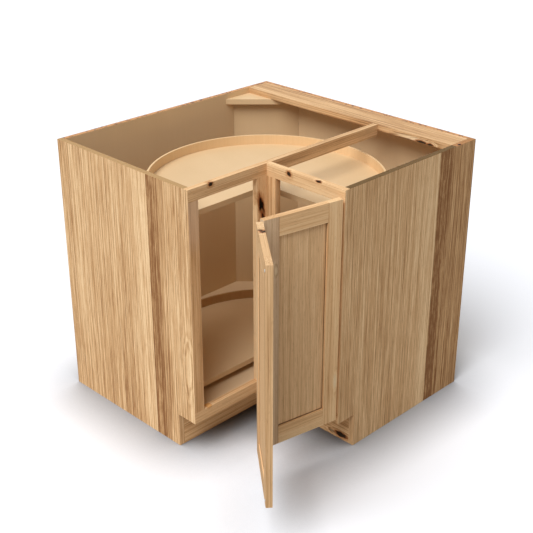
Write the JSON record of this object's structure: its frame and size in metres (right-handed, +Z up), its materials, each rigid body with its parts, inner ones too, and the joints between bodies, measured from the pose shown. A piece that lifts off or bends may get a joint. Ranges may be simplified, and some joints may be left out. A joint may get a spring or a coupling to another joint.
{
  "type": "corner carousel cabinet",
  "caption": "L-fronted corner base cabinet in knotty wood, with rimmed turning trays on a centre pole, an open top, a toe recess and a folding corner door.",
  "frame": {"origin": "carousel axis at floor level, on the underside of the block behind the toe boards", "axes": "+Z up; +Y towards the right-hand wall, +X along it away from the room's corner, so that the room is towards +X and -Y"},
  "size_m": [1.0719, 1.0632, 0.8763],
  "materials": {
    "hickory": "knotty solid hickory, clear satin lacquer",
    "hickory_veneer": "hickory veneer on plywood, clear satin lacquer",
    "maple_laminate": "pale maple laminate, satin",
    "bent_maple": "bent maple, satin lacquer",
    "pine": "planed softwood, unfinished",
    "steel": "zinc-plated steel, satin",
    "nylon": "moulded off-white nylon",
    "rubber": "clear soft bumper"
  },
  "bodies": {
    "carcass": {"carousel_pole": "steel", "corner_gusset": "maple_laminate", "cross_beam": "hickory", "deck_panel": "maple_laminate", "diagonal_back_panel": "maple_laminate", "floor_bearing": "nylon", "frame_hinge_lower_bottom_screw": "steel", "frame_hinge_lower_frame_wing": "steel", "frame_hinge_lower_top_screw": "steel", "frame_hinge_upper_bottom_screw": "steel", "frame_hinge_upper_frame_wing": "steel", "frame_hinge_upper_top_screw": "steel", "left_back_panel": "maple_laminate", "left_bottom_rail": "hickory", "left_bracket_screw": "steel", "left_deck_cleat": "pine", "left_end_panel": "hickory_veneer", "left_inner_stile": "hickory", "left_outer_stile": "hickory", "left_toe_board": "hickory", "left_top_rail": "hickory", "pole_bracket": "steel", "pole_top_cap": "nylon", "rear_top_board": "hickory", "right_back_panel": "maple_laminate", "right_bottom_rail": "hickory", "right_bracket_screw": "steel", "right_deck_cleat": "pine", "right_end_panel": "hickory_veneer", "right_inner_stile": "hickory", "right_outer_stile": "hickory", "right_toe_board": "hickory", "right_top_rail": "hickory", "toe_corner_block": "pine", "upper_pole_collar": "steel"},
    "lower_tray": {"lower_tray_base": "maple_laminate", "lower_tray_hub": "nylon", "lower_tray_rim": "bent_maple"},
    "upper_tray": {"upper_tray_base": "maple_laminate", "upper_tray_hub": "nylon", "upper_tray_rim": "bent_maple"},
    "right_leaf": {"corner_hinge_lower_right_wing": "steel", "corner_hinge_upper_right_wing": "steel", "frame_hinge_lower_door_wing": "steel", "frame_hinge_upper_door_wing": "steel", "right_leaf_bottom_rail": "hickory", "right_leaf_meeting_stile": "hickory", "right_leaf_outer_stile": "hickory", "right_leaf_panel": "hickory", "right_leaf_top_rail": "hickory"},
    "left_leaf": {"corner_hinge_lower_left_wing": "steel", "corner_hinge_upper_left_wing": "steel", "door_bumper_lower": "rubber", "door_bumper_upper": "rubber", "left_leaf_bottom_rail": "hickory", "left_leaf_meeting_stile": "hickory", "left_leaf_outer_stile": "hickory", "left_leaf_panel": "hickory", "left_leaf_top_rail": "hickory"}
  },
  "joints": [
    {"name": "door_swing", "type": "hinge", "parent": "carcass", "child": "right_leaf", "pos_m": [0.39085, -0.1051, 0.4953], "axis": [0, 0, 1], "range_deg": [-79.6, 30.4]},
    {"name": "leaf_fold", "type": "hinge", "parent": "right_leaf", "child": "left_leaf", "pos_m": [0.35964, -0.3721, 0.4953], "axis": [0, 0, 1], "range_deg": [-11.15, 29.1]},
    {"name": "upper_tray_turn", "type": "hinge", "parent": "carcass", "child": "upper_tray", "pos_m": [0, 0, 0.75], "axis": [0, 0, 1], "range_deg": [-13.5, 13.5]},
    {"name": "lower_tray_turn", "type": "hinge", "parent": "carcass", "child": "lower_tray", "pos_m": [0, 0, 0.166], "axis": [0, 0, 1], "range_deg": [-13.5, 13.5]}
  ],
  "couplings": [
    {"joint": "leaf_fold", "follows": "door_swing", "ratio": -0.3655}
  ]
}
